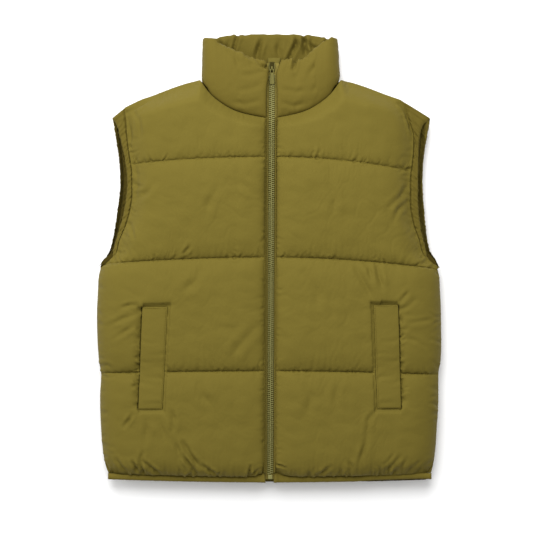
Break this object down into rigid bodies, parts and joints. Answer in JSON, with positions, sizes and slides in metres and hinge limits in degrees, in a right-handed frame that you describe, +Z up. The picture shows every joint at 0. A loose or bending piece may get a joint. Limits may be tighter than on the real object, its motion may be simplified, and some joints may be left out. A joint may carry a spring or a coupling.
{
  "type": "puffer vest",
  "caption": "Sleeveless quilted puffer vest with a stand collar, full-length zip, welt pockets, banded armholes and an elastic hem, zipped up and laid flat.",
  "frame": {"origin": "on the surface it lies on, on the zip's line, half way between the hem and the collar's rim", "axes": "+X to the wearer's left, +Y from the hem to the collar, +Z up off the surface, out of the fronts"},
  "size_m": [0.605, 0.783, 0.0655],
  "materials": {
    "shell": "olive plain-weave nylon, soft sheen",
    "guard": "olive plain weave",
    "tape": "dark olive woven tape",
    "teeth": "moulded, light olive",
    "slider": "dark olive enamel"
  },
  "bodies": {
    "vest": {"front_right": "shell", "front_left": "shell", "back": "shell", "collar": "shell", "pocket_welt_right": "shell", "pocket_welt_left": "shell", "armhole_band_front_right": "shell", "armhole_band_front_left": "shell", "armhole_band_back_right": "shell", "armhole_band_back_left": "shell", "hem_band_front_right": "shell", "hem_band_front_left": "shell", "hem_band_back": "shell", "zip_tape_right": "tape", "zip_tape_left": "tape", "zip_guard": "guard", "zip_chain": "teeth", "zip_box": "teeth", "zip_slider": "slider"},
    "pull": {"zip_pull": "slider"}
  },
  "joints": [
    {"name": "pull_hinge", "type": "hinge", "parent": "vest", "child": "pull", "pos_m": [0.00244, 0.3282, 0.0322], "axis": [-1, 0, 0], "range_deg": [0, 175]}
  ]
}
